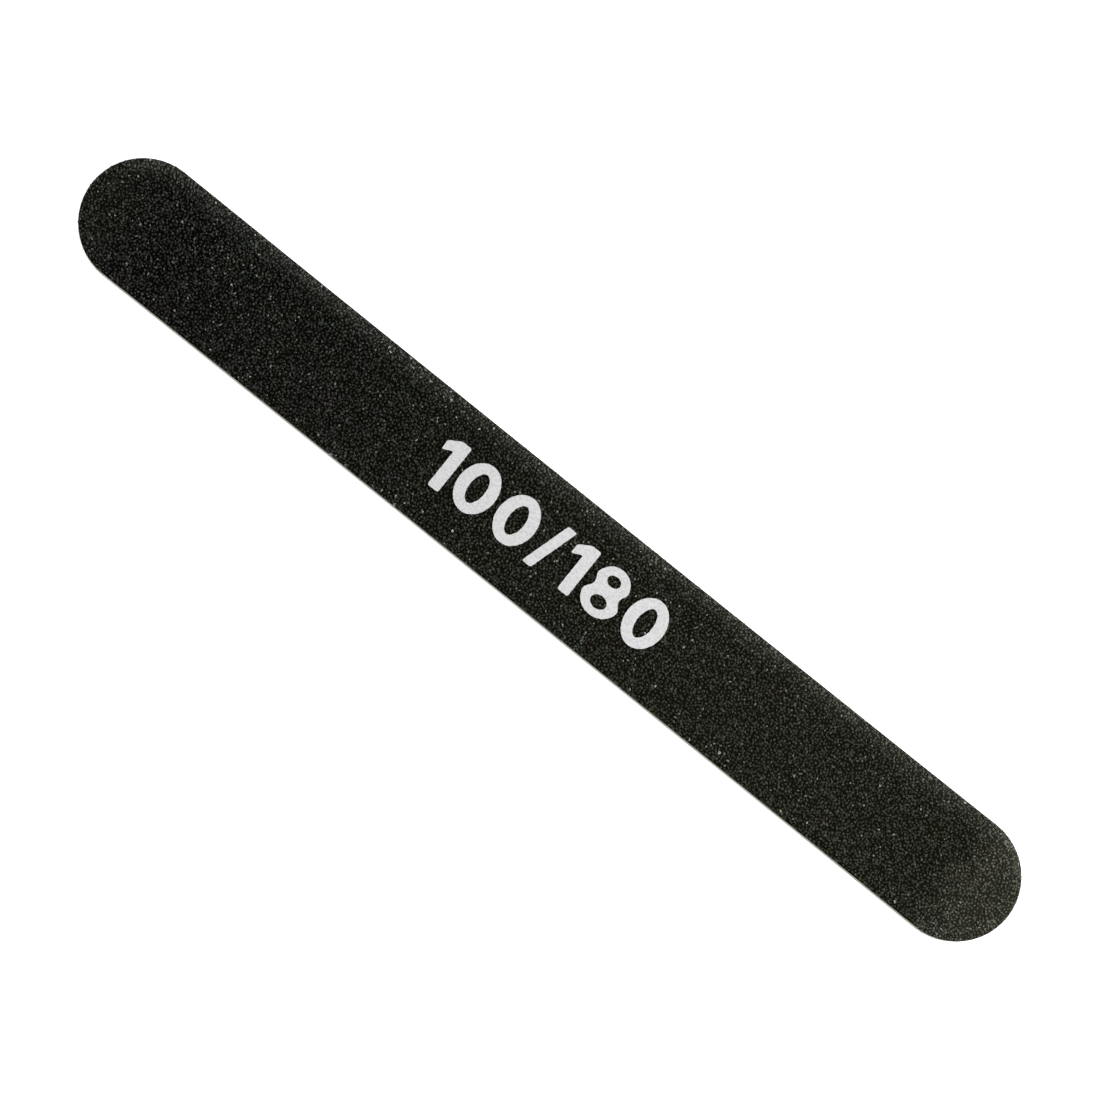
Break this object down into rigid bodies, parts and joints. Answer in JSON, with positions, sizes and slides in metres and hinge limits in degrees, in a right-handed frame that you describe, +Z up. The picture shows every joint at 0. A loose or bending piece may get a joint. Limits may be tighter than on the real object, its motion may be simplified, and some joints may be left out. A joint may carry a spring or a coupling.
{
  "type": "nail file",
  "caption": "Double-sided cushioned nail file: a straight board with round ends, coarse abrasive on one face, fine on the other, over foam and a stiff core.",
  "frame": {"origin": "centre of the board's footprint, on the plane of its fine face, which lies on the table", "axes": "+X along the board's length, +Y across its width, +Z up through the layers to the coarse face"},
  "size_m": [0.178, 0.0198, 0.004],
  "materials": {
    "coarse_grit": "black silicon carbide grain, with fine glints",
    "fine_grit": "fine black silicon carbide grain",
    "resin": "black bonding resin",
    "backing_paper": "dark latex paper, matte",
    "glue": "thin amber adhesive film",
    "foam": "cream closed-cell foam, matte",
    "core_plastic": "off-white polystyrene strip with a die-cut edge"
  },
  "bodies": {
    "root": {"core_strip": "core_plastic", "upper_core_adhesive": "glue", "upper_foam_cushion": "foam", "upper_paper_adhesive": "glue", "upper_backing_paper": "backing_paper", "upper_resin_coat": "resin", "upper_grit_coat": "coarse_grit", "lower_core_adhesive": "glue", "lower_foam_cushion": "foam", "lower_paper_adhesive": "glue", "lower_backing_paper": "backing_paper", "lower_resin_coat": "resin", "lower_grit_coat": "fine_grit"}
  },
  "joints": []
}
